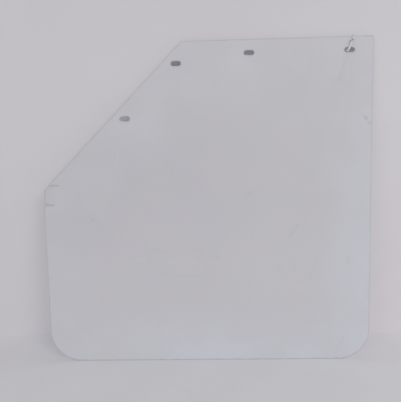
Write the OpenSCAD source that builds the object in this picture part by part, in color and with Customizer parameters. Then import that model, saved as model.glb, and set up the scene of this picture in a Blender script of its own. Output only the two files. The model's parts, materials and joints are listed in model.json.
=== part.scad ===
// Truck mud flap: a thin flexible sheet with one upper corner cut off, slots to
// bolt it up by, and a cable tie looped through the last slot and over the top edge.
// Millimetres. The flap hangs upright in the XZ plane, its front face at y = 0
// looking towards -Y. The origin is midway between the two upper slots.

/* [Sheet] */
// Overall width of the sheet
flap_w = 600; // [500:1:760]
// Overall height of the sheet
flap_h = 588; // [490:1:760]
// Thickness of the sheet
flap_t = 3; // [2:0.1:4]
// Radius of the two lower corners
corner_r = 59; // [20:1:100]
// How far the cut corner reaches along the top edge
cut_w = 262; // [180:1:320]
// How far the cut corner reaches down the left edge
cut_h = 261; // [180:1:320]

/* [Slots] */
// Length of every slot, end to end
slot_l = 18; // [14:0.5:24]
// Width of every slot
slot_w = 8.5; // [7:0.1:10.5]
// Top edge to the centre line of the two upper slots
top_margin = 23.5; // [16:0.5:35]
// Right edge to the centre of the last slot
side_margin = 41.5; // [20:0.5:60]
// Centre to centre of the two upper slots
upper_pitch = 176.5; // [80:0.5:240]
// Cut edge to the centres of the two slots beside it
cut_margin = 20; // [14:0.5:35]
// Upper end of the cut edge to the nearer slot, along the edge
cut_start = 34.5; // [20:0.5:60]
// Centre to centre of the two slots beside the cut edge
cut_pitch = 134.5; // [60:0.5:200]

/* [Slits] */
// Width of the two knife slits at the left corner
slit_w = 0.6; // [0.3:0.1:1.5]
// Length of each slit from the edge inwards
slit_l = 20; // [5:0.5:30]
// Height of the upper slit above the lower end of the cut edge
slit_up = 9; // [3:0.5:20]
// Depth of the lower slit below the lower end of the cut edge
slit_down = 27; // [10:0.5:50]

/* [Cable tie] */
// Width of the strap
tie_w = 2.5; // [2:0.1:3.5]
// Thickness of the strap
tie_t = 1.05; // [0.8:0.05:1.5]
// Lean of the loop to the right, where it comes to rest on the top edge
tie_lean = 22; // [10:1:25]
// Clearance that the moving strap keeps from the sheet
tie_gap = 0.3; // [0.2:0.05:0.6]
// Room between each face of the sheet and the loop's long runs
run_gap = 3.5; // [2.5:0.1:6]
// Strap centre in from the centre of the slot's round left end
pass_in = 0.75; // [0.5:0.05:1]
// Width of the head
head_w = 4.6; // [4.3:0.1:6]
// Length of the head along the strap
head_l = 4.8; // [4.4:0.1:7]
// Depth of the head away from the sheet
head_d = 3.4; // [2.5:0.1:5]
// Top of the loop down to the strap's way through the head
head_drop = 10.5; // [5.5:0.1:14]
// Clearance round the strap inside the head
mouth_gap = 0.25; // [0.15:0.05:0.4]
// Cut-off tail left standing out of the head
stub_l = 0.8; // [0.3:0.1:8]
// Width of the tongue that grips the strap
tongue_w = 1.5; // [1:0.1:1.9]
// Depth of the tongue along the strap's way through the head
tongue_d = 1.2; // [0.8:0.1:2]

/* [Hidden] */
$fn = 96;
eps = 0.01;
past = 1;            // how far a cut runs past a face

slot_half = (slot_l - slot_w) / 2;      // slot centre to the centre of each round end
last_x = flap_w - side_margin;          // from the left edge
upper_z = flap_h - top_margin;          // from the bottom edge
origin_x = last_x - upper_pitch / 2;

cut_len = norm([cut_w, cut_h]);
cut_run = [cut_w, cut_h] / cut_len;     // up along the cut edge
cut_in = [cut_h, -cut_w] / cut_len;     // square into the sheet from the cut edge

// Slot centres, as x from the left edge and z from the bottom edge
cut_slots = [for (back = [cut_start + cut_pitch, cut_start])
    [0, flap_h - cut_h] + cut_run * (cut_len - back) + cut_in * cut_margin];
upper_slots = [[last_x - upper_pitch, upper_z], [last_x, upper_z]];

// The strap's way through the last slot, from that slot's centre
pass_drop = tie_w / 2 * sin(tie_lean) + tie_t / 2 * cos(tie_lean);
pass_x = -slot_half + pass_in;
pass_z = -slot_w / 2 + tie_gap + pass_drop;

// The loop, seen along the sheet's edge: y from the sheet's middle, z from the pass
run_y = flap_t / 2 + run_gap + tie_t / 2;      // middle of the strap on its long runs
bend_r = tie_t;                                // middle of the tail's bend into the head
tail_y = run_y - bend_r - tie_t - mouth_gap;   // middle of the tail behind the head
crown_r = (run_y + tail_y) / 2;                // middle of the arc over the top edge
crown_y = run_y - crown_r;
crown_in = crown_r - tie_t / 2;
front_off = crown_y + flap_t / 2;              // sheet's front face from the arc's centre
edge_rise = top_margin - pass_z;
front_rise = (edge_rise + tie_gap + tie_w / 2 * sin(tie_lean)) / cos(tie_lean);
crown_z = front_rise - sqrt(pow(crown_in, 2) - pow(front_off, 2));
loop_top = crown_z + crown_in;
mouth_z = loop_top - head_drop;
head_y = run_y - tie_t / 2;                    // inner face of the head

// Outline of one slot, centred
module slot_outline() {
    square([2 * slot_half, slot_w], center = true);
    for (side = [-1, 1])
        translate([side * slot_half, 0]) circle(d = slot_w);
}

// Outline of the sheet before it is pierced, from its lower left corner
module sheet_outline() {
    difference() {
        union() {
            translate([0, corner_r]) square([flap_w, flap_h - corner_r]);
            translate([corner_r, 0]) square([flap_w - 2 * corner_r, corner_r + eps]);
            for (x = [corner_r, flap_w - corner_r])
                translate([x, corner_r]) circle(r = corner_r, $fn = 180);
        }
        polygon([[0, flap_h - cut_h], [cut_w, flap_h], [cut_w, flap_h + past],
                 [-past, flap_h + past], [-past, flap_h - cut_h]]);
    }
}

// Both slits start outside the edge and run level into the sheet
module slits() {
    low = flap_h - cut_h;
    edge_x = slit_up * cut_w / cut_h;
    translate([-past, low - slit_down - slit_w / 2]) square([slit_l + past, slit_w]);
    translate([edge_x - past, low + slit_up - slit_w / 2]) square([slit_l + past, slit_w]);
}

module flap_panel() {
    color([0.80, 0.81, 0.84])
        translate([-origin_x, 0, -upper_z])
            rotate([90, 0, 0]) mirror([0, 0, 1])
                linear_extrude(height = flap_t) difference() {
                    sheet_outline();
                    for (centre = concat(cut_slots, upper_slots))
                        translate(centre) slot_outline();
                    slits();
                }
}

// A stretch of strap in the plane of the loop, from z = low to z = high at y = mid
module strap_run(mid, low, high) {
    translate([-tie_w / 2, mid - tie_t / 2, low]) cube([tie_w, tie_t, high - low]);
}

// A bend of the strap round the X axis, from angle start on through turn
module strap_bend(mid_r, start, turn) {
    rotate([0, -90, 0]) rotate([0, 0, start])
        rotate_extrude(angle = turn)
            translate([mid_r - tie_t / 2, -tie_w / 2]) square([tie_t, tie_w]);
}

// The loop stands upright here, with the strap's pass through the slot at the origin
module tie_loop() {
    low_z = run_y;
    translate([0, 0, low_z]) strap_bend(run_y, 90, 180);
    strap_run(run_y, low_z - eps, crown_z + eps);
    strap_run(-run_y, low_z - eps, mouth_z - head_l / 2 + eps);
    translate([0, crown_y, crown_z]) strap_bend(crown_r, -90, 180);
    strap_run(-tail_y, mouth_z + bend_r - eps, crown_z + eps);
    translate([0, -tail_y - bend_r, mouth_z + bend_r]) strap_bend(bend_r, 90, 90);
    tail_l = head_y + head_d + stub_l - tail_y - bend_r;
    translate([-tie_w / 2, -tail_y - bend_r - tail_l, mouth_z - tie_t / 2])
        cube([tie_w, tail_l + eps, tie_t]);
}

// The box at the strap's end, with its mouth and the tongue that grips the strap's
// inner face from the side that the strap starts from
module tie_head() {
    mouth_h = tie_t + 2 * mouth_gap;
    difference() {
        translate([-head_w / 2, -head_y - head_d, mouth_z - head_l / 2])
            cube([head_w, head_d, head_l]);
        translate([-tie_w / 2 - mouth_gap, -head_y - head_d - past, mouth_z - mouth_h / 2])
            cube([tie_w + 2 * mouth_gap, head_d + 2 * past, mouth_h]);
    }
    translate([-tongue_w / 2, -head_y - head_d / 2 - tongue_d / 2, mouth_z - mouth_h / 2 - eps])
        cube([tongue_w, tongue_d, mouth_h / 2 + eps]);
}

module cable_tie() {
    color([0.92, 0.92, 0.93])
        translate([last_x - origin_x + pass_x, flap_t / 2, pass_z])
            rotate([0, tie_lean, 0]) {
                tie_loop();
                tie_head();
            }
}

flap_panel();
cable_tie();
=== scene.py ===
import json
import math

import bpy
import numpy as np
from mathutils import Matrix, Vector
from mathutils.geometry import delaunay_2d_cdt


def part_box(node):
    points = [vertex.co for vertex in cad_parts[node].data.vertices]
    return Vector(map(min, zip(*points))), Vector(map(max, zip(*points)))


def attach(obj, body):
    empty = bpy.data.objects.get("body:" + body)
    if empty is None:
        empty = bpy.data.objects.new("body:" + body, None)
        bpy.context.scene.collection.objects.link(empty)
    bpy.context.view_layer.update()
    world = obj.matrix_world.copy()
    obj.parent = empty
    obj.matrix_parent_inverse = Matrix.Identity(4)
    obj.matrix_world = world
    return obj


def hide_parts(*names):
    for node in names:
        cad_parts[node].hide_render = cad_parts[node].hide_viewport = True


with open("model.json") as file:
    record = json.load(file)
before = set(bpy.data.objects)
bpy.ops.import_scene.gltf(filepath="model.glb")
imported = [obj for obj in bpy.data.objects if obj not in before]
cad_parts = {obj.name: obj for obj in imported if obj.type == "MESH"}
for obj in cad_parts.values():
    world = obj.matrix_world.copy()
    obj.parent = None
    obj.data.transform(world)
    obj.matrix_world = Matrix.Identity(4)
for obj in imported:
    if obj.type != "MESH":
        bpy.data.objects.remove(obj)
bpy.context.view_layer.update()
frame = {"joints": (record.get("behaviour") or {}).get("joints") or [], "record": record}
sheetLow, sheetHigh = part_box("flap_panel")
sheetWide, sheetThick, sheetTall = sheetHigh - sheetLow
mounts = {m["name"]: m for m in frame["record"]["mounts"]}
scene = bpy.context.scene
mm = 0.001
print("frame loaded, sheet", round(sheetWide, 4), "by", round(sheetTall, 4))

camera = {
    "place": (0.0120, -0.7300, 0.0722),   # from the middle of the sheet's front face
    "turn": (85.03, 1.23, 1.57),          # degrees about X, Y and Z
    "lens": 35.82,                        # mm, on a 36 mm sensor
}


def addCamera(name, place, turn, lens):
    data = bpy.data.cameras.new(name)
    data.lens = lens
    data.sensor_width = 36
    data.clip_start = 0.01
    obj = bpy.data.objects.new(name, data)
    middle = (sheetLow + sheetHigh) / 2
    obj.location = Vector((middle.x, sheetLow.y, middle.z)) + Vector(place)
    obj.rotation_euler = [math.radians(a) for a in turn]
    scene.collection.objects.link(obj)
    scene.camera = obj


addCamera("photoCamera", **camera)


# Node helpers: a value is either a plain number or colour, or the socket that it comes from

def feed(tree, socket, value):
    if isinstance(value, bpy.types.NodeSocket):
        tree.links.new(value, socket)
    elif value is not None:
        socket.default_value = value


def addNode(tree, kind, inputs=(), **settings):
    node = tree.nodes.new(kind)
    for key, value in settings.items():
        setattr(node, key, value)
    for key, value in dict(inputs).items():
        feed(tree, node.inputs[key], value)
    return node


def calc(tree, operation, a, b=None, c=None):
    return addNode(tree, "ShaderNodeMath", {0: a, 1: b, 2: c}, operation=operation).outputs[0]


def fade(tree, value, low, high, start=0.0, end=1.0):
    node = addNode(tree, "ShaderNodeMapRange", {0: value, 1: low, 2: high, 3: start, 4: end})
    node.interpolation_type = "SMOOTHSTEP"
    return node.outputs[0]


def blendColour(tree, factor, a, b, mode="MIX"):
    node = addNode(tree, "ShaderNodeMix", data_type="RGBA", blend_type=mode)
    for key, value in ((0, factor), (6, a), (7, b)):
        feed(tree, node.inputs[key], value)
    return node.outputs[2]


def newGroup(name, inputs, outputs):
    group = bpy.data.node_groups.new(name, "ShaderNodeTree")
    for label, value in inputs.items():
        kind = "NodeSocketVector" if value is None else "NodeSocketFloat"
        socket = group.interface.new_socket(label, in_out="INPUT", socket_type=kind)
        if value is not None:
            socket.default_value = value
    for label in outputs:
        group.interface.new_socket(label, in_out="OUTPUT", socket_type="NodeSocketFloat")
    have = group.nodes.new("NodeGroupInput").outputs
    give = group.nodes.new("NodeGroupOutput").inputs
    return group, have, give


def useGroup(tree, group, output="Mask", **inputs):
    node = tree.nodes.new("ShaderNodeGroup")
    node.node_tree = group
    for key, value in inputs.items():
        feed(tree, node.inputs[key], value)
    return node.outputs[output]


def newMaterial(name, **sockets):
    material = bpy.data.materials.new(name)
    material.use_nodes = True
    tree = material.node_tree
    shader = tree.nodes["Principled BSDF"]
    for key, value in sockets.items():
        shader.inputs[key.replace("_", " ")].default_value = value
    place = addNode(tree, "ShaderNodeTexCoord").outputs["Object"]
    return material, tree, shader, place


def bump(tree, shader, height, strength, distance):
    inputs = {"Height": height, "Strength": strength, "Distance": distance}
    node = addNode(tree, "ShaderNodeBump", inputs)
    feed(tree, shader.inputs["Normal"], node.outputs[0])


# Effects that several materials share. Sizes are metres, masks run from 0 to 1

def makeMottle():
    # soft cloudy patches; Raw is the noise itself, for grain
    inputs = {"Place": None, "Size": 0.1, "Seed": 0.0}
    group, have, give = newGroup("mottle", inputs, ["Mask", "Raw"])
    scale = calc(group, "DIVIDE", 1.0, have["Size"])
    sources = {"Vector": have["Place"], "W": have["Seed"], "Scale": scale, "Detail": 4.0}
    noise = addNode(group, "ShaderNodeTexNoise", sources, noise_dimensions="4D").outputs[0]
    feed(group, give["Mask"], fade(group, noise, 0.36, 0.64))
    feed(group, give["Raw"], noise)
    return group


def makeSpecks():
    # ragged dots, at most one in each cell; Dot is their size as a share of the cell
    inputs = {"Place": None, "Spacing": 0.02, "Dot": 0.06, "Share": 0.3}
    group, have, give = newGroup("specks", inputs, ["Mask"])
    scale = calc(group, "DIVIDE", 1.0, have["Spacing"])
    cell = addNode(group, "ShaderNodeTexVoronoi", {"Vector": have["Place"], "Scale": scale})
    fineScale = calc(group, "MULTIPLY", scale, 12.0)
    rough = addNode(group, "ShaderNodeTexNoise", {"Vector": have["Place"], "Scale": fineScale})
    wobble = calc(group, "MULTIPLY", calc(group, "SUBTRACT", rough.outputs[0], 0.5), have["Dot"])
    reach = calc(group, "ADD", cell.outputs["Distance"], wobble)
    dot = fade(group, reach, calc(group, "MULTIPLY", have["Dot"], 0.4), have["Dot"], 1.0, 0.0)
    tone = addNode(group, "ShaderNodeSeparateColor", {0: cell.outputs["Color"]})
    picked = calc(group, "LESS_THAN", tone.outputs[0], have["Share"])
    mask = calc(group, "MULTIPLY", dot, picked)
    feed(group, give["Mask"], calc(group, "MULTIPLY", mask, tone.outputs[1]))
    return group


def makeHairlines():
    # fine scratches that run one way across the XZ plane, with a slight waver
    inputs = {"Place": None, "Turn": 0.0, "Spacing": 0.004, "Length": 0.08, "Share": 0.2}
    group, have, give = newGroup("hairlines", inputs, ["Mask"])
    turn = {"Vector": have["Place"], "Angle": have["Turn"]}
    turned = addNode(group, "ShaderNodeVectorRotate", turn, rotation_type="Y_AXIS").outputs[0]
    waver = {"Vector": have["Place"], "Scale": 7.0, "Detail": 1.0}
    wander = addNode(group, "ShaderNodeTexNoise", waver)
    axes = addNode(group, "ShaderNodeSeparateXYZ", {0: turned})
    across = calc(group, "DIVIDE", axes.outputs["Z"], have["Spacing"])
    across = calc(group, "ADD", across, calc(group, "MULTIPLY", wander.outputs[0], 4.0))
    along = calc(group, "DIVIDE", axes.outputs["X"], have["Length"])
    grid = addNode(group, "ShaderNodeCombineXYZ", {0: along, 1: 0.0, 2: across}).outputs[0]
    cell = addNode(group, "ShaderNodeTexVoronoi", {"Vector": grid, "Scale": 1.0})
    home = addNode(group, "ShaderNodeSeparateXYZ", {0: cell.outputs["Position"]})
    off = calc(group, "ABSOLUTE", calc(group, "SUBTRACT", across, home.outputs["Z"]))
    line = fade(group, off, 0.01, 0.05, 1.0, 0.0)
    ends = fade(group, cell.outputs["Distance"], 0.15, 0.4, 1.0, 0.0)
    tone = addNode(group, "ShaderNodeSeparateColor", {0: cell.outputs["Color"]})
    picked = calc(group, "LESS_THAN", tone.outputs[0], have["Share"])
    mask = calc(group, "MULTIPLY", calc(group, "MULTIPLY", line, ends), picked)
    feed(group, give["Mask"], calc(group, "MULTIPLY", mask, tone.outputs[1]))
    return group


def makeRimWear():
    # strongest at an edge and ragged as it fades; Gap is the distance from the edge
    inputs = {"Place": None, "Gap": 0.01, "Width": 0.002}
    group, have, give = newGroup("rimDarkening", inputs, ["Mask"])
    grain = {"Vector": have["Place"], "Scale": 55.0, "Detail": 5.0}
    noise = addNode(group, "ShaderNodeTexNoise", grain)
    spread = calc(group, "MULTIPLY", noise.outputs[0], 2.0)
    reach = calc(group, "MULTIPLY", have["Width"], spread)
    feed(group, give["Mask"], fade(group, have["Gap"], 0.0, reach, 1.0, 0.0))
    return group


def makeRagged():
    # breaks a smooth mask up, as a rub or a smear does on a slightly rough surface
    inputs = {"Place": None, "Amount": 0.5, "Size": 0.01}
    group, have, give = newGroup("ragged", inputs, ["Mask"])
    noise = addNode(group, "ShaderNodeTexNoise", {"Vector": have["Place"], "Detail": 4.0})
    feed(group, noise.inputs["Scale"], calc(group, "DIVIDE", 1.0, have["Size"]))
    broken = fade(group, noise.outputs[0], 0.34, 0.56, 0.25, 1.0)
    feed(group, give["Mask"], calc(group, "MULTIPLY", have["Amount"], broken))
    return group


mottle, specks, hairlines = makeMottle(), makeSpecks(), makeHairlines()
rimDarkening, ragged = makeRimWear(), makeRagged()
print("shared effects made")


# Outlines are lists of (x, z) points, with the material on the left of the way they run

def arc(x, z, radius, start, turn, steps):
    angles = [math.radians(start + turn * k / steps) for k in range(steps + 1)]
    return [(x + radius * math.cos(a), z + radius * math.sin(a)) for a in angles]


def easedCorner(before, at, after, reach, steps=4):
    corner, back, on = Vector(at), Vector(before) - Vector(at), Vector(after) - Vector(at)
    first = corner + back.normalized() * reach
    last = corner + on.normalized() * reach
    shares = [k / steps for k in range(steps + 1)]
    return [tuple((1 - t) ** 2 * first + 2 * t * (1 - t) * corner + t * t * last) for t in shares]


def filledIn(points, step):
    out = []
    for (x0, z0), (x1, z1) in zip(points, points[1:] + points[:1]):
        n = max(1, math.ceil(math.hypot(x1 - x0, z1 - z0) / step))
        out += [(x0 + (x1 - x0) * k / n, z0 + (z1 - z0) * k / n) for k in range(n)]
    return out


def slotOutline(x, z, length, radius, step):
    half = length / 2 - radius
    ends = arc(x - half, z, radius, 270, -180, 24) + arc(x + half, z, radius, 90, -180, 24)
    return filledIn(ends, step)


def moved(loop, depth):
    # every point of a closed outline, shifted into the material
    at = np.array(loop)
    back, on = at - np.roll(at, 1, 0), np.roll(at, -1, 0) - at
    back /= np.linalg.norm(back, axis=1)[:, None]
    on /= np.linalg.norm(on, axis=1)[:, None]
    side = np.stack([-back[:, 1] - on[:, 1], back[:, 0] + on[:, 0]], 1)
    return at + depth * side / np.maximum((side ** 2).sum(1) / 2, 0.15)[:, None]


def gapTo(points, loops):
    # distance from each point to the nearest outline
    best = np.full(len(points), 9.0)
    for loop in loops:
        ends = np.array(loop)
        for a, b in zip(ends, np.roll(ends, -1, 0)):
            best = np.minimum(best, gapToRun(points, a, b))
    return best


def gapToRun(points, a, b):
    run = np.subtract(b, a)
    share = np.clip(((points - a) @ run) / (run @ run), 0, 1)
    return np.linalg.norm(points - a - share[:, None] * run, axis=1)


def inside(points, loops):
    crossings = np.zeros(len(points), int)
    for loop in loops:
        ends = np.array(loop)
        for (x0, z0), (x1, z1) in zip(ends, np.roll(ends, -1, 0)):
            if z0 != z1:
                level = (points[:, 1] > z0) != (points[:, 1] > z1)
                crossing = x0 + (points[:, 1] - z0) / (z1 - z0) * (x1 - x0)
                crossings += level & (points[:, 0] < crossing)
    return crossings % 2 == 1


def plate(loops, inner, thick, rim, steps=3):
    # flat plate with rounded rims: its points as (x, depth, z), its faces, and how far
    # each point is from the outlines
    rings = [moved(loop, rim) for loop in loops]
    starts = np.cumsum([0] + [len(r) for r in rings])
    sides = [(s + k, s + (k + 1) % len(r)) for s, r in zip(starts, rings) for k in range(len(r))]
    flat = [Vector(p) for ring in rings for p in ring] + [Vector(p) for p in inner]
    at, _, faces, source = delaunay_2d_cdt(flat, sides, [], 0, 1e-7)[:4]
    flat = np.array([tuple(p) for p in at])
    where = {old: new for new, olds in enumerate(source) for old in olds}
    faces = np.array([f for f in faces if len(f) == 3])
    faces = faces[inside(flat[faces].mean(1), rings)]
    a, b, c = (flat[faces[:, k]] for k in range(3))
    ab, ac = b - a, c - a
    turn = ab[:, 0] * ac[:, 1] - ab[:, 1] * ac[:, 0]
    faces[turn < 0] = faces[turn < 0][:, ::-1]
    n = len(flat)
    gap = gapTo(flat, loops)
    points = [(x, 0.0, z) for x, z in flat] + [(x, thick, z) for x, z in flat]
    gaps = list(gap) + list(gap)
    out = [tuple(f) for f in faces] + [tuple(f[::-1] + n) for f in faces]
    turns = [math.pi / 2 * k / steps for k in range(steps + 1)]
    levels = [(rim * (1 - math.sin(t)), rim * (1 - math.cos(t))) for t in turns]
    levels += [(depth, thick - y) for depth, y in reversed(levels)]
    for s, loop in zip(starts, loops):
        m = len(loop)
        rows = [[where[s + k] for k in range(m)]]
        for depth, y in levels[1:-1]:
            rows.append(list(range(len(points), len(points) + m)))
            points += [(x, y, z) for x, z in moved(loop, depth)]
            gaps += [0.0] * m
        rows.append([where[s + k] + n for k in range(m)])
        for upper, lower in zip(rows, rows[1:]):
            for k in range(m):
                on = (k + 1) % m
                out.append((upper[k], lower[k], lower[on], upper[on]))
    return np.array(points), out, np.array(gaps)


def setAttribute(mesh, name, values):
    attribute = mesh.attributes.new(name, "FLOAT", "POINT")
    attribute.data.foreach_set("value", np.asarray(values, np.float32))


def makePiece(name, points, faces, gaps, material, sharp=35):
    mesh = bpy.data.meshes.new(name)
    mesh.from_pydata([tuple(p) for p in points], [], faces)
    loose = np.ones(len(points), bool)
    loose[np.unique([v for f in faces for v in f])] = False
    setAttribute(mesh, "edgeGap", gaps)
    mesh.materials.append(material)
    mesh.shade_smooth()
    mesh.set_sharp_from_angle(angle=math.radians(sharp))
    obj = bpy.data.objects.new(name, mesh)
    scene.collection.objects.link(obj)
    print(name, len(mesh.polygons), "faces,", int(loose.sum()), "loose points")
    return obj


# The sheet. Places on it are (x, z) in metres from its lower left corner

sheet = {
    "cutWide": 0.262,          # the cut corner, along the top edge
    "cutTall": 0.261,          # and down the left edge
    "cornerRadius": 0.059,
    "cornerEase": 0.0014,      # the other corners are only just rounded
    "rimRound": 0.0004,
    "slitLong": 0.020, "slitMouth": 0.0008, "slitEnd": 0.00015,
    "slitUp": 0.009, "slitDown": 0.027,
    "tabBend": 0.0045,         # how far back the tab between the slits stands
    "bow": 0.0014,             # slack curve of the whole sheet
    "coarse": 0.0068,          # mesh spacing on the plain stretches
    "fine": 0.0017,            # on the creases and marks
    "slotStep": 0.0022,        # and round the slots
}

creases = [   # both ends, how far each stands back, and how wide it is
    ((0.5515, 0.5545), (0.5385, 0.5120), 0.0011, 0.0030),    # two folds below the tied slot
    ((0.5555, 0.5530), (0.5640, 0.5060), 0.0008, 0.0030),
    ((0.5535, 0.5500), (0.5520, 0.5150), -0.0006, 0.0050),   # the swelling between them
    ((0.4830, 0.0670), (0.5250, 0.0790), 0.0007, 0.0022),    # lower right corner
    ((0.5330, 0.0080), (0.5560, 0.0500), 0.0008, 0.0026),
    ((0.5850, 0.4480), (0.5960, 0.4340), 0.0012, 0.0032),    # bruise beside the right edge
    ((0.4555, 0.2370), (0.4665, 0.2520), 0.0004, 0.0018),
]


def sheetOutline(s):
    w, h, r = sheetWide, sheetTall, s["cornerRadius"]
    low, lean, long = h - s["cutTall"], s["cutWide"] / s["cutTall"], s["slitLong"]
    mouth, end, ease = s["slitMouth"] / 2, s["slitEnd"] / 2, s["cornerEase"]
    up, down, x = low + s["slitUp"], low - s["slitDown"], s["slitUp"] * lean
    points = arc(r, r, r, 180, 90, 26) + arc(w - r, r, r, 270, 90, 26)
    points += easedCorner((w, r), (w, h), (s["cutWide"], h), ease)
    points += easedCorner((w, h), (s["cutWide"], h), (0, low), ease)
    points += [(x + mouth * lean, up + mouth), (x + long, up + end), (x + long, up - end)]
    points += [(x - mouth * lean, up - mouth)]
    points += easedCorner((s["cutWide"], h), (0, low), (0, 0), ease)
    points += [(0, down + mouth), (long, down + end), (long, down - end), (0, down - mouth)]
    return filledIn(points, s["coarse"] * 0.7)


def slotPlaces():
    # centres of the four slots, and their length and radius
    dims = mounts["upper_slots"]["dims"]
    half = dims["spacing_x_mm"] * mm / 2
    row = mounts["upper_slots"]["pos_m"]
    centres = [(row[0] - half, row[2]), (row[0] + half, row[2])]
    for name in sorted(mounts):
        if name != "upper_slots":
            centres.append((mounts[name]["pos_m"][0], mounts[name]["pos_m"][2]))
    places = [(x - sheetLow.x, z - sheetLow.z) for x, z in centres]
    return places, dims["slot_length_mm"] * mm, dims["hole_r_mm"] * mm


def gridPoints(step):
    rows = np.arange(0, sheetTall, step * math.sqrt(0.75))
    columns = np.arange(0, sheetWide, step)
    return np.array([(x + step / 2 * (k % 2), z) for k, z in enumerate(rows) for x in columns])


def innerPoints(s, loops):
    # points inside the sheet: a coarse net, a fine one round the details, and rings that
    # follow the outlines
    details = [(a, b, 3.5 * width) for a, b, _, width in creases]
    details += [(a, b, 1.4 * width) for a, b, width, *_ in marksAndShade]

    def near(points):
        gaps = [gapToRun(points, np.array(a), np.array(b)) - reach for a, b, reach in details]
        return np.min(gaps, axis=0)

    coarse, fine = gridPoints(s["coarse"]), gridPoints(s["fine"])
    coarse, fine = coarse[near(coarse) > s["fine"]], fine[near(fine) < 0]
    first, second = s["rimRound"] * 4, s["rimRound"] * 10
    kept = []
    for points, room in ((coarse, s["coarse"] * 0.95), (fine, s["fine"] * 1.5)):
        points = points[inside(points, loops)]
        kept.append(points[gapTo(points, loops) > room])
    for loop in loops:
        for depth in (first, second):
            ring = moved(loop, depth)
            ring = ring[inside(ring, loops)]
            ring = ring[gapTo(ring, loops) > depth * 0.9]
            kept.append(ring[near(ring) > s["fine"]] if depth == second else ring)
    return np.concatenate(kept)


def standBack(s, x, z):
    # how far each point of the sheet stands back from flat: its slack, its creases, its tab
    u, v = x / sheetWide, z / sheetTall
    back = s["bow"] * np.sin(math.pi * u) * (0.35 + 0.65 * np.sin(math.pi * v * 0.9))
    back += s["bow"] * 0.35 * np.sin(2.3 * math.pi * u + 1.1) * v * (1 - u) * u * 4
    at = np.stack([x, z], 1)
    for a, b, height, width in creases:
        back += height * np.exp(-(gapToRun(at, np.array(a), np.array(b)) / width) ** 1.4)
    low = sheetTall - s["cutTall"]
    top, bottom = low + s["slitUp"], low - s["slitDown"]
    lean = s["slitUp"] * s["cutWide"] / s["cutTall"]
    tip = s["slitLong"] + (z - bottom) / (top - bottom) * lean
    share = np.clip((tip - x) / tip, 0, 1) * (z < top) * (z > bottom)
    return back + s["tabBend"] * share ** 1.5


def markAndShadeMask(at, isPale):
    # strength of the pale or the dark marks at each point of the front; the dark ones include painted
    # shade
    mask = np.zeros(len(at))
    for a, b, width, strength, pale in marksAndShade:
        if pale == isPale:
            gap = gapToRun(at[:, [0, 2]], np.array(a), np.array(b))
            mask = np.maximum(mask, strength * np.exp(-(gap / width * 1.6) ** 2))
    return mask * (at[:, 1] < sheetThick / 2)


sheetLook = {
    "milk": (0.507, 0.495, 0.556, 1.0),
    "pale": (0.560, 0.596, 0.735, 1.0),     # painted light: a paler, bluer band round the outside
    "shade": (0.438, 0.424, 0.478, 1.0),    # painted shade, darker upwards and to the left
    "blush": (0.530, 0.490, 0.540, 1.0),
    "grimeAndShade": (0.210, 0.205, 0.200, 1.0),
    "rub": (0.790, 0.790, 0.810, 1.0),
    "rimDarkWidth": 0.0030,
    "rimDark": 0.85, "rimDarkAloft": 0.62,  # darker rims: strength at the floor, where it is painted contact shadow, and the part of it left above
    "darkMarkShare": 0.40, "speckDirt": 0.45,
    "rubShare": 0.6, "scratchShare": 0.18,
    "outerReach": 0.12, "outerShare": 0.8,  # the painted light band round the outside: how far in it fades, its strength
    "roughness": 0.42,
}

marksAndShade = [   # marks on the front, worn, dirty and partly painted shade: both ends, width, strength, and True if pale
    ((0.187, 0.222), (0.194, 0.183), 0.0032, 0.34, False),
    ((0.194, 0.183), (0.206, 0.170), 0.0032, 0.30, False),
    ((0.206, 0.170), (0.246, 0.163), 0.0028, 0.24, False),
    ((0.246, 0.163), (0.281, 0.163), 0.0034, 0.40, False),
    ((0.198, 0.213), (0.222, 0.209), 0.0046, 0.30, False),
    ((0.276, 0.212), (0.292, 0.209), 0.0044, 0.30, False),
    ((0.306, 0.200), (0.327, 0.194), 0.0042, 0.34, False),
    ((0.285, 0.204), (0.284, 0.168), 0.0030, 0.18, False),
    ((0.205, 0.232), (0.322, 0.232), 0.0020, 0.16, False),
    ((0.152, 0.190), (0.184, 0.196), 0.0070, 0.13, True),
    ((0.215, 0.192), (0.272, 0.188), 0.0130, 0.09, True),
    ((0.431, 0.176), (0.444, 0.160), 0.0032, 0.36, False),
    ((0.444, 0.160), (0.470, 0.150), 0.0026, 0.22, False),
    ((0.470, 0.150), (0.489, 0.157), 0.0030, 0.32, False),
    ((0.489, 0.157), (0.504, 0.196), 0.0032, 0.30, False),
    ((0.458, 0.186), (0.466, 0.164), 0.0062, 0.26, False),
    ((0.440, 0.138), (0.494, 0.136), 0.0080, 0.09, True),
    ((0.374, 0.306), (0.386, 0.319), 0.0026, 0.80, False),
    ((0.454, 0.235), (0.468, 0.254), 0.0022, 0.90, False),
    ((0.558, 0.196), (0.561, 0.184), 0.0056, 0.55, False),
    ((0.089, 0.272), (0.092, 0.270), 0.0044, 0.85, False),
    ((0.063, 0.320), (0.065, 0.316), 0.0056, 0.48, False),
    ((0.587, 0.447), (0.589, 0.444), 0.0044, 1.20, False),
    ((0.594, 0.437), (0.596, 0.434), 0.0040, 0.80, False),
    ((0.489, 0.548), (0.493, 0.530), 0.0040, 0.26, False),
    # painted shade along the two creases in the lower right corner
    ((0.488, 0.067), (0.522, 0.076), 0.0018, 0.42, False),
    ((0.538, 0.014), (0.554, 0.044), 0.0020, 0.36, False),
    # painted shade along the two folds below the tied slot
    ((0.552, 0.552), (0.539, 0.514), 0.0028, 0.34, False),
    ((0.555, 0.549), (0.563, 0.512), 0.0024, 0.24, False),
    # painted contact shadow where the bottom edge meets the floor
    ((0.058, 0.0015), (0.063, 0.0015), 0.0034, 1.40, False),
    ((0.536, 0.0015), (0.541, 0.0015), 0.0034, 1.40, False),
]


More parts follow.
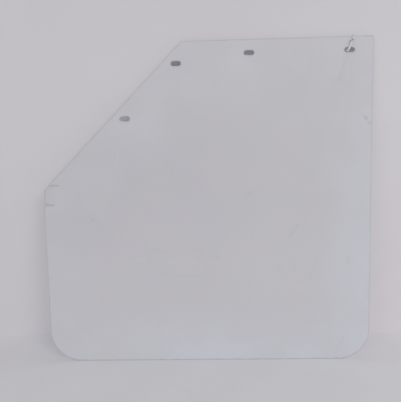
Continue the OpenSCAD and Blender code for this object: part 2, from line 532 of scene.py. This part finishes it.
def paintedEdgeLight(tree, look, gap, patchy, across, height):
    # painted light: a paler band round the outside, weaker towards the top and the left, where less
    # light falls
    outer = fade(tree, gap, 0.004, look["outerReach"], 1.0, 0.0)
    outer = calc(tree, "MULTIPLY", outer, fade(tree, patchy, 0.0, 1.0, 0.55, 1.0))
    low = fade(tree, height, sheetLow.z, sheetHigh.z, 1.0, 0.35)
    right = fade(tree, across, sheetLow.x, sheetLow.x + 0.30, 0.35, 1.0)
    return calc(tree, "MULTIPLY", calc(tree, "MULTIPLY", outer, low), right)


def paintedShading(tree, broad, across, height):
    # painted shade: darker upwards, again in a strip near the top by the slots, and towards the left,
    # broken by broad random mottling
    upper = fade(tree, height, sheetLow.z + 0.10, sheetLow.z + 0.38, 0.0, 0.75)
    strip = fade(tree, height, sheetLow.z + 0.44, sheetLow.z + 0.57, 0.0, 0.60)
    left = fade(tree, across, sheetLow.x, sheetLow.x + 0.25, 0.30, 0.0)
    upper = calc(tree, "ADD", calc(tree, "ADD", upper, strip), left)
    return calc(tree, "MULTIPLY_ADD", broad, 0.25, upper)


def scratches(tree, place):
    # two sets that cross
    first = useGroup(tree, hairlines, Place=place, Turn=0.35, Spacing=0.011, Length=0.11, Share=0.25)
    second = useGroup(tree, hairlines, Place=place, Turn=1.35, Spacing=0.013, Length=0.09, Share=0.22)
    return calc(tree, "MAXIMUM", first, second)


def makeSheetMaterial(look):
    material, tree, shader, place = newMaterial(
        "milkyPlastic", Specular_IOR_Level=0.32, Subsurface_Weight=0.12, Subsurface_Scale=0.0003)
    gap, markDark, markPale = (
        addNode(tree, "ShaderNodeAttribute", attribute_name=name).outputs["Fac"]
        for name in ("edgeGap", "rubDark", "rubPale"))
    across, _, height = addNode(tree, "ShaderNodeSeparateXYZ", {0: place}).outputs
    broad = useGroup(tree, mottle, Place=place, Size=0.26, Seed=4.0)
    patchy = useGroup(tree, mottle, Place=place, Size=0.07, Seed=9.0)
    outer = paintedEdgeLight(tree, look, gap, patchy, across, height)
    dark = useGroup(tree, ragged, Place=place, Amount=markDark, Size=0.009)
    light = useGroup(tree, ragged, Place=place, Amount=markPale, Size=0.009)
    dots = useGroup(tree, specks, Place=place, Spacing=0.045, Dot=0.035, Share=0.30)
    scratch = scratches(tree, place)
    rim = useGroup(tree, rimDarkening, Place=place, Gap=gap, Width=look["rimDarkWidth"])
    # the rims are darkest at the floor: painted contact shadow
    aloft = fade(tree, height, sheetLow.z, sheetLow.z + 0.012, 1.0, look["rimDarkAloft"])
    rim = calc(tree, "MULTIPLY", rim, aloft)

    # painted shade, from milk towards shade
    shaded = paintedShading(tree, broad, across, height)
    colour = blendColour(tree, shaded, look["milk"], look["shade"])
    colour = blendColour(tree, calc(tree, "MULTIPLY", patchy, 0.22), colour, look["blush"])
    # painted light round the outside
    outer = calc(tree, "MULTIPLY", outer, look["outerShare"])
    colour = blendColour(tree, outer, colour, look["pale"])
    rubbed = calc(tree, "MULTIPLY", light, look["rubShare"])
    colour = blendColour(tree, rubbed, colour, look["rub"])
    scratched = calc(tree, "MULTIPLY", scratch, look["scratchShare"])
    colour = blendColour(tree, scratched, colour, look["rub"])
    # real dirt and dark marks, with painted shade along the creases and at the floor
    dirtAndShade = calc(tree, "MULTIPLY", dark, look["darkMarkShare"])
    dirtAndShade = calc(tree, "MAXIMUM", dirtAndShade, calc(tree, "MULTIPLY", dots, look["speckDirt"]))
    dirtAndShade = calc(tree, "MAXIMUM", dirtAndShade, calc(tree, "MULTIPLY", rim, look["rimDark"]))
    feed(tree, shader.inputs["Base Color"], blendColour(tree, dirtAndShade, colour, look["grimeAndShade"]))

    fine = useGroup(tree, mottle, "Raw", Place=place, Size=0.006, Seed=2.0)
    worn = calc(tree, "MAXIMUM", light, scratch)
    rough = calc(tree, "MULTIPLY_ADD", fine, 0.12, look["roughness"])
    rough = calc(tree, "MULTIPLY_ADD", worn, 0.16, rough)
    rough = calc(tree, "MULTIPLY_ADD", dirtAndShade, 0.2, rough)
    feed(tree, shader.inputs["Roughness"], rough)
    grain = useGroup(tree, mottle, "Raw", Place=place, Size=0.0016, Seed=6.0)
    relief = calc(tree, "SUBTRACT", grain, calc(tree, "MULTIPLY", scratch, 0.7))
    relief = calc(tree, "SUBTRACT", relief, calc(tree, "MULTIPLY", dark, 0.5))
    bump(tree, shader, relief, 0.25, 0.00025)
    return material


def makeSheet(s):
    centres, slotLong, slotRadius = slotPlaces()
    outer = sheetOutline(s)
    loops = [outer]
    loops += [slotOutline(x, z, slotLong, slotRadius, s["slotStep"]) for x, z in centres]
    points, faces, gaps = plate(loops, innerPoints(s, loops), sheetThick, s["rimRound"])
    marks = [markAndShadeMask(points, isPale) for isPale in (False, True)]
    points[:, 1] += standBack(s, points[:, 0], points[:, 2])
    points += np.array(sheetLow)
    obj = makePiece("flapSheet", points, faces, gaps, makeSheetMaterial(sheetLook), 28)
    setAttribute(obj.data, "rubDark", marks[0])
    setAttribute(obj.data, "rubPale", marks[1])
    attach(obj, "flap")
    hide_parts("flap_panel")


makeSheet(sheet)


# The tie. Its loop is laid out upright: x across the strap, y back, z up from its way
# through the slot

tie = {
    "wide": 2.5 * mm, "thick": 1.05 * mm,
    "lean": 22,                              # degrees to the right
    "runBack": 5.525 * mm,                   # middle of the strap's long runs, from the sheet's
    "tailBack": 3.175 * mm,                  # middle of the tail behind the head
    "crownMiddle": 1.175 * mm, "crownUp": 26.670 * mm, "crownRadius": 4.35 * mm,
    "tailBend": 1.05 * mm,
    "mouthUp": 19.995 * mm,
    "headWide": 4.6 * mm, "headLong": 4.8 * mm, "headDeep": 3.4 * mm, "headFront": -8.4 * mm,
    "headRound": 0.7 * mm, "headRim": 0.28 * mm,
    "mouthWide": 3.0 * mm, "mouthTall": 1.55 * mm, "mouthRound": 0.2 * mm,
    "tongueWide": 1.5 * mm, "tongueDeep": 1.2 * mm,
    "stub": 0.8 * mm,                        # cut tail left standing out of the head
    "channelWide": 1.6 * mm, "channelDeep": 0.28 * mm,
    "toothPitch": 0.72 * mm, "toothHigh": 0.20 * mm,
}


def straight(a, b, step):
    n = max(2, math.ceil(math.dist(a, b) / step))
    return [(a[0] + (b[0] - a[0]) * k / n, a[1] + (b[1] - a[1]) * k / n) for k in range(1, n)]


def loopPath(t):
    # middle line of the strap, from inside the head round the sheet and back through the head
    run, tail, r = t["runBack"], t["tailBack"], t["tailBend"]
    root = (-run, t["mouthUp"] - t["headLong"] / 2 + 0.5 * mm)
    lower = arc(0, run, run, 180, 180, 36)
    crown = arc(t["crownMiddle"], t["crownUp"], t["crownRadius"], 0, 180, 32)
    turnIn = arc(-tail - r, t["mouthUp"] + r, r, 0, -90, 12)
    last = (t["headFront"] - t["stub"], t["mouthUp"])
    path = [root] + straight(root, lower[0], 1.2 * mm) + lower
    path += straight(lower[-1], crown[0], 1.2 * mm) + crown
    path += straight(crown[-1], turnIn[0], 0.8 * mm) + turnIn
    path += straight(turnIn[-1], last, 0.8 * mm)
    return np.array(path + [last])


def strapSection(t, steps=3):
    # across the strap and out from the loop's middle line, with a shallow channel along
    # the inner face
    w, h, r = t["wide"] / 2, t["thick"] / 2, 0.2 * mm
    channel, floor = t["channelWide"] / 2, -h + t["channelDeep"]
    points = arc(w - r, -h + r, r, 270, 90, steps) + arc(w - r, h - r, r, 0, 90, steps)
    points += arc(-w + r, h - r, r, 90, 90, steps) + arc(-w + r, -h + r, r, 180, 90, steps)
    slope = 0.08 * mm
    points += [(-channel, -h), (-channel + slope, floor), (channel - slope, floor), (channel, -h)]
    return points


def swept(path, section):
    ahead = np.gradient(path, axis=0)
    ahead /= np.linalg.norm(ahead, axis=1)[:, None]
    m = len(section)
    points = []
    for (y, z), (ty, tz) in zip(path, ahead):
        points += [(u, y + v * tz, z - v * ty) for u, v in section]
    faces = [tuple(range(m))[::-1], tuple(range(len(points) - m, len(points)))]
    for row in range(len(path) - 1):
        a = row * m
        for k in range(m):
            on = (k + 1) % m
            faces.append((a + k, a + on, a + m + on, a + m + k))
    return np.array(points), faces


def tongueBlock(t):
    # wedge on the mouth's lower wall that bites into the strap's teeth
    w, deep = t["tongueWide"] / 2, t["tongueDeep"]
    front = t["headFront"] + t["headDeep"] / 2
    base = t["mouthUp"] - t["mouthTall"] / 2 - 0.1 * mm
    top = t["mouthUp"] - t["thick"] / 2 + t["channelDeep"]
    side = [(front - deep / 2, base), (front + deep / 2, base)]
    side += [(front - deep * 0.1, top), (front - deep / 2, top)]
    points = [(x, y, z) for x in (-w, w) for y, z in side]
    faces = [(3, 2, 1, 0), (4, 5, 6, 7)]
    faces += [(k, (k + 1) % 4, 4 + (k + 1) % 4, 4 + k) for k in range(4)]
    return np.array(points), faces


def roundedBox(z, wide, tall, radius, steps=5):
    points = []
    for sideX, sideZ, start in ((1, -1, 270), (1, 1, 0), (-1, 1, 90), (-1, -1, 180)):
        x = sideX * (wide / 2 - radius)
        points += arc(x, z + sideZ * (tall / 2 - radius), radius, start, 90, steps)
    return points


def makeTeethTree():
    tree = bpy.data.node_groups.new("teethAlongPath", "GeometryNodeTree")
    sizes = {"Pitch": 0.001, "Width": 0.001, "Height": 0.001, "Drop": 0.0}
    tree.interface.new_socket("Path", in_out="INPUT", socket_type="NodeSocketGeometry")
    for label, value in sizes.items():
        socket = tree.interface.new_socket(label, in_out="INPUT", socket_type="NodeSocketFloat")
        socket.default_value = value
    tree.interface.new_socket("Finish", in_out="INPUT", socket_type="NodeSocketMaterial")
    tree.interface.new_socket("Teeth", in_out="OUTPUT", socket_type="NodeSocketGeometry")
    have = tree.nodes.new("NodeGroupInput").outputs
    curve = addNode(tree, "GeometryNodeMeshToCurve", {0: have["Path"]})
    spacing = {"Curve": curve.outputs[0], "Length": have["Pitch"]}
    even = addNode(tree, "GeometryNodeResampleCurve", spacing, mode="LENGTH")
    along = addNode(tree, "GeometryNodeInputTangent")
    across = addNode(tree, "FunctionNodeInputVector", vector=(1, 0, 0))
    axes = {0: along.outputs[0], 1: across.outputs[0]}
    facing = addNode(tree, "FunctionNodeAxesToRotation", axes, primary_axis="Z", secondary_axis="X")
    prismSize = {"Vertices": 3, "Radius": have["Height"], "Depth": have["Width"]}
    prism = addNode(tree, "GeometryNodeMeshCylinder", prismSize).outputs[0]
    onSide = {"Geometry": prism, "Rotation": (0, math.radians(90), 0)}
    laid = addNode(tree, "GeometryNodeTransform", onSide).outputs[0]
    facets = {"Geometry": laid, "Shade Smooth": False}
    tooth = addNode(tree, "GeometryNodeSetShadeSmooth", facets).outputs[0]
    row = {"Points": even.outputs[0], "Instance": tooth, "Rotation": facing.outputs[0]}
    placed = addNode(tree, "GeometryNodeInstanceOnPoints", row).outputs[0]
    drop = addNode(tree, "ShaderNodeCombineXYZ", {1: have["Drop"]}).outputs[0]
    down = {"Instances": placed, "Translation": drop, "Local Space": True}
    lowered = addNode(tree, "GeometryNodeTranslateInstances", down).outputs[0]
    real = addNode(tree, "GeometryNodeRealizeInstances", {0: lowered}).outputs[0]
    finish = {"Geometry": real, "Material": have["Finish"]}
    done = addNode(tree, "GeometryNodeSetMaterial", finish).outputs[0]
    feed(tree, tree.nodes.new("NodeGroupOutput").inputs[0], done)
    return tree


def makeTeeth(name, path, material, values):
    # the row of teeth along the path, as a plain mesh
    guide = bpy.data.meshes.new(name + "Guide")
    guide.from_pydata([(0, y, z) for y, z in path], [(k, k + 1) for k in range(len(path) - 1)], [])
    obj = bpy.data.objects.new(name, guide)
    scene.collection.objects.link(obj)
    tree = makeTeethTree()
    modifier = obj.modifiers.new("teeth", "NODES")
    modifier.node_group = tree
    for socket in tree.interface.items_tree:
        if socket.in_out == "INPUT" and socket.name in values:
            modifier[socket.identifier] = values[socket.name]
        if socket.in_out == "INPUT" and socket.name == "Finish":
            modifier[socket.identifier] = material
    depsgraph = bpy.context.evaluated_depsgraph_get()
    made = bpy.data.meshes.new_from_object(obj.evaluated_get(depsgraph))
    obj.modifiers.remove(modifier)
    obj.data = made
    setAttribute(made, "edgeGap", np.full(len(made.vertices), 0.001))
    return obj


nylonLook = {
    "body": (0.56, 0.56, 0.57, 1.0),
    "cloud": (0.50, 0.49, 0.47, 1.0),
    "grimeAndShade": (0.10, 0.095, 0.09, 1.0),
    "rimDarkWidth": 0.00025, "rimDark": 0.15, "speckDirt": 0.4,
}


def makeNylon(look):
    material, tree, shader, place = newMaterial(
        "naturalNylon", Specular_IOR_Level=0.5, IOR=1.53,
        Subsurface_Weight=0.3, Subsurface_Scale=0.0012)
    gap = addNode(tree, "ShaderNodeAttribute", attribute_name="edgeGap").outputs["Fac"]
    cloud = useGroup(tree, mottle, Place=place, Size=0.004, Seed=3.0)
    colour = blendColour(tree, calc(tree, "MULTIPLY", cloud, 0.6), look["body"], look["cloud"])
    rim = useGroup(tree, rimDarkening, Place=place, Gap=gap, Width=look["rimDarkWidth"])
    dots = useGroup(tree, specks, Place=place, Spacing=0.0035, Dot=0.07, Share=0.4)
    # painted shade in the head's mouth
    soil = addNode(tree, "ShaderNodeAttribute", attribute_name="soil").outputs["Fac"]
    soil = useGroup(tree, ragged, Place=place, Amount=soil, Size=0.0012)
    dirtAndShade = calc(tree, "MULTIPLY", rim, look["rimDark"])
    dirtAndShade = calc(tree, "MAXIMUM", dirtAndShade, calc(tree, "MULTIPLY", dots, look["speckDirt"]))
    dirtAndShade = calc(tree, "MAXIMUM", dirtAndShade, soil)
    feed(tree, shader.inputs["Base Color"], blendColour(tree, dirtAndShade, colour, look["grimeAndShade"]))
    fine = useGroup(tree, mottle, "Raw", Place=place, Size=0.0006, Seed=7.0)
    feed(tree, shader.inputs["Roughness"], fade(tree, fine, 0.2, 0.8, 0.3, 0.48))
    bump(tree, shader, fine, 0.2, 0.00008)
    return material


def mouthShadeMask(t, points):
    # painted shade darkens the head's mouth and the cut end of the tail
    x, y, z = points.T
    off = np.maximum(np.abs(x) - t["mouthWide"] / 2, np.abs(z - t["mouthUp"]) - t["mouthTall"] / 2)
    inFront = y < t["headFront"] + t["headDeep"] * 0.8
    return np.clip(1.15 - off / (1.3 * mm), 0, 1) * inFront


def makeTie(t):
    nylon = makeNylon(nylonLook)
    path = loopPath(t)
    section = strapSection(t)
    strapPoints, strapFaces = swept(path, section)
    strapGaps = np.tile([t["wide"] / 2 - abs(u) for u, _ in section], len(path))
    outline = roundedBox(t["mouthUp"], t["headWide"], t["headLong"], t["headRound"])
    mouth = roundedBox(t["mouthUp"], t["mouthWide"], t["mouthTall"], t["mouthRound"])
    loops = [filledIn(loop, 0.5 * mm) for loop in (outline, mouth[::-1])]
    headPoints, headFaces, headGaps = plate(loops, [], t["headDeep"], t["headRim"], 4)
    headPoints[:, 1] += t["headFront"]
    tonguePoints, tongueFaces = tongueBlock(t)
    parts = [(strapPoints, strapFaces, strapGaps), (headPoints, headFaces, headGaps),
             (tonguePoints, tongueFaces, np.full(len(tonguePoints), mm))]
    points, faces, gaps = [], [], []
    for partPoints, partFaces, partGaps in parts:
        faces += [tuple(v + len(points) for v in f) for f in partFaces]
        points += [tuple(p) for p in partPoints]
        gaps += list(partGaps)
    strap = makePiece("cableTie", points, faces, gaps, nylon, 40)
    setAttribute(strap.data, "soil", mouthShadeMask(t, np.array(points)))
    floor = t["thick"] / 2 - t["channelDeep"]
    drop = -floor - t["toothHigh"] * 0.35
    values = {"Pitch": t["toothPitch"], "Width": t["channelWide"] - 0.1 * mm,
              "Height": t["toothHigh"], "Drop": drop}
    first = int(np.argmax(path[:, 1] < path[0, 1] - 6 * mm))
    teeth = makeTeeth("tieTeeth", path[first:-2], nylon, values)
    pivot = Matrix.Translation(Vector(frame["joints"][0]["pos_m"]))
    turn = pivot @ Matrix.Rotation(math.radians(t["lean"]), 4, "Y")
    for obj in (strap, teeth):
        obj.data.transform(turn)
        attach(obj, "tie")
    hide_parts("cable_tie")
    print("tie made,", len(teeth.data.polygons), "faces in the teeth")


makeTie(tie)


# Floor, wall and light

stage = {
    "wallGap": 0.0100,       # wall behind the sheet's front, at its top edge
    "wallFoot": 0.117,       # and at the floor
    "width": 5.0, "depth": 2.6, "height": 1.5,
}

stageLook = {
    # wallWarm and floorLit are painted light, mixed in towards the right
    "wall": (0.640, 0.608, 0.672, 1.0), "wallWarm": (0.770, 0.690, 0.780, 1.0),
    "floor": (0.812, 0.800, 0.865, 1.0), "floorLit": (0.895, 0.884, 0.945, 1.0),
    "dustAndShade": (0.42, 0.40, 0.41, 1.0),
}


def makeStageMaterial(name, base, second, dustAndShade, seed, oneSided=False):
    material, tree, shader, place = newMaterial(name, Specular_IOR_Level=0.15)
    broad = useGroup(tree, mottle, Place=place, Size=0.55, Seed=seed)
    patchy = useGroup(tree, mottle, Place=place, Size=0.09, Seed=seed + 1)
    dots = useGroup(tree, specks, Place=place, Spacing=0.06, Dot=0.03, Share=0.3)
    across, _, height = addNode(tree, "ShaderNodeSeparateXYZ", {0: place}).outputs
    # painted light: paler towards the right, broken by broad random mottling
    side = fade(tree, across, -0.2, 0.3, 0.15, 1.0)
    share = calc(tree, "MULTIPLY", fade(tree, broad, 0.0, 1.0, 0.6, 1.0), side)
    colour = blendColour(tree, share, base, second)
    colour = blendColour(tree, calc(tree, "MULTIPLY", patchy, 0.08), colour, dustAndShade)
    # painted shade: the wall darker towards its top
    upper = fade(tree, height, sheetHigh.z - 0.08, sheetHigh.z + 0.10, 0.0, 0.16)
    colour = blendColour(tree, upper, colour, dustAndShade)
    colour = blendColour(tree, calc(tree, "MULTIPLY", dots, 0.35), colour, dustAndShade)
    feed(tree, shader.inputs["Base Color"], colour)
    fine = useGroup(tree, mottle, "Raw", Place=place, Size=0.004, Seed=seed + 2)
    feed(tree, shader.inputs["Roughness"], fade(tree, fine, 0.2, 0.8, 0.7, 0.9))
    bump(tree, shader, fine, 0.25, 0.0006)
    if oneSided:
        back = addNode(tree, "ShaderNodeNewGeometry").outputs["Backfacing"]
        clear = addNode(tree, "ShaderNodeBsdfTransparent").outputs[0]
        both = addNode(tree, "ShaderNodeMixShader", {0: back, 1: shader.outputs[0], 2: clear})
        feed(tree, tree.nodes["Material Output"].inputs["Surface"], both.outputs[0])
    return material


def addSurface(name, material, corners):
    mesh = bpy.data.meshes.new(name)
    mesh.from_pydata(corners, [], [(0, 1, 2, 3)])
    mesh.materials.append(material)
    obj = bpy.data.objects.new(name, mesh)
    scene.collection.objects.link(obj)


def makeStage(s, look):
    # the wall leans forward behind the upright sheet, and shows and shades only on its front
    middle, half, ground = (sheetLow.x + sheetHigh.x) / 2, s["width"] / 2, sheetLow.z
    left, right = middle - half, middle + half
    slope = (s["wallGap"] - s["wallFoot"]) / sheetTall
    foot, top = s["wallFoot"], s["wallFoot"] + slope * s["height"]
    near, far, above = -s["depth"], s["depth"], ground + s["height"]
    floorLook = makeStageMaterial("paleFloor", look["floor"], look["floorLit"], look["dustAndShade"], 11.0)
    wallLook = makeStageMaterial("paleWall", look["wall"], look["wallWarm"], look["dustAndShade"], 21.0, True)
    addSurface("floor", floorLook, [
        (left, near, ground), (right, near, ground), (right, far, ground), (left, far, ground)])
    addSurface("wall", wallLook, [
        (left, foot, ground), (right, foot, ground), (right, top, above), (left, top, above)])


def addAreaLight(name, place, aim, size, power, colour):
    data = bpy.data.lights.new(name, "AREA")
    data.shape = "ELLIPSE"
    data.size, data.size_y = size
    data.energy = power
    data.color = colour
    # with this sampling on, adding a linked light makes the pieces it reaches too bright
    data.cycles.use_multiple_importance_sampling = False
    obj = bpy.data.objects.new(name, data)
    obj.location = place
    obj.rotation_euler = (Vector(aim) - Vector(place)).to_track_quat("-Z", "Y").to_euler()
    scene.collection.objects.link(obj)
    return obj


def lightOnly(light, names):
    # the wall stands close behind the sheet, so this light passes it by and reaches only
    # these pieces
    group = bpy.data.collections.new(light.name + "Pieces")
    for name in names:
        group.objects.link(bpy.data.objects[name])
    light.light_linking.receiver_collection = group
    light.light_linking.blocker_collection = group


def lightWorld(colour, strength):
    world = bpy.data.worlds.new("studio")
    world.use_nodes = True
    background = world.node_tree.nodes["Background"]
    background.inputs["Color"].default_value = colour
    background.inputs["Strength"].default_value = strength
    scene.world = world


lights = {
    "aim": (-0.15, 0.0, -0.30),
    "sky": (0.94, 0.92, 1.0, 1.0), "skyStrength": 0.25,
    "warm": (1.0, 0.985, 0.99), "plain": (1.0, 1.0, 1.0),
    "front": (   # name, place, size across and upwards, power
        ("key", (0.30, -4.0, 1.28), (1.4, 1.2), 62),
        ("right", (1.90, -3.2, 1.10), (1.6, 1.2), 92),
        ("left", (-2.20, -3.2, 0.90), (1.4, 1.2), 45),
    ),
    "rear": (
        ("rearLeft", (1.60, 3.0, 0.90), (1.8, 1.8), 28),
        ("rearRight", (-2.10, 2.6, 0.60), (1.8, 1.8), 14),
    ),
}

makeStage(stage, stageLook)
lightWorld(lights["sky"], lights["skyStrength"])
for name, place, size, power in lights["front"]:
    addAreaLight(name, place, lights["aim"], size, power, lights["warm"])
for name, place, size, power in lights["rear"]:
    rear = addAreaLight(name, place, lights["aim"], size, power, lights["plain"])
    lightOnly(rear, ("flapSheet", "cableTie", "tieTeeth"))
print("floor, wall and lights made")
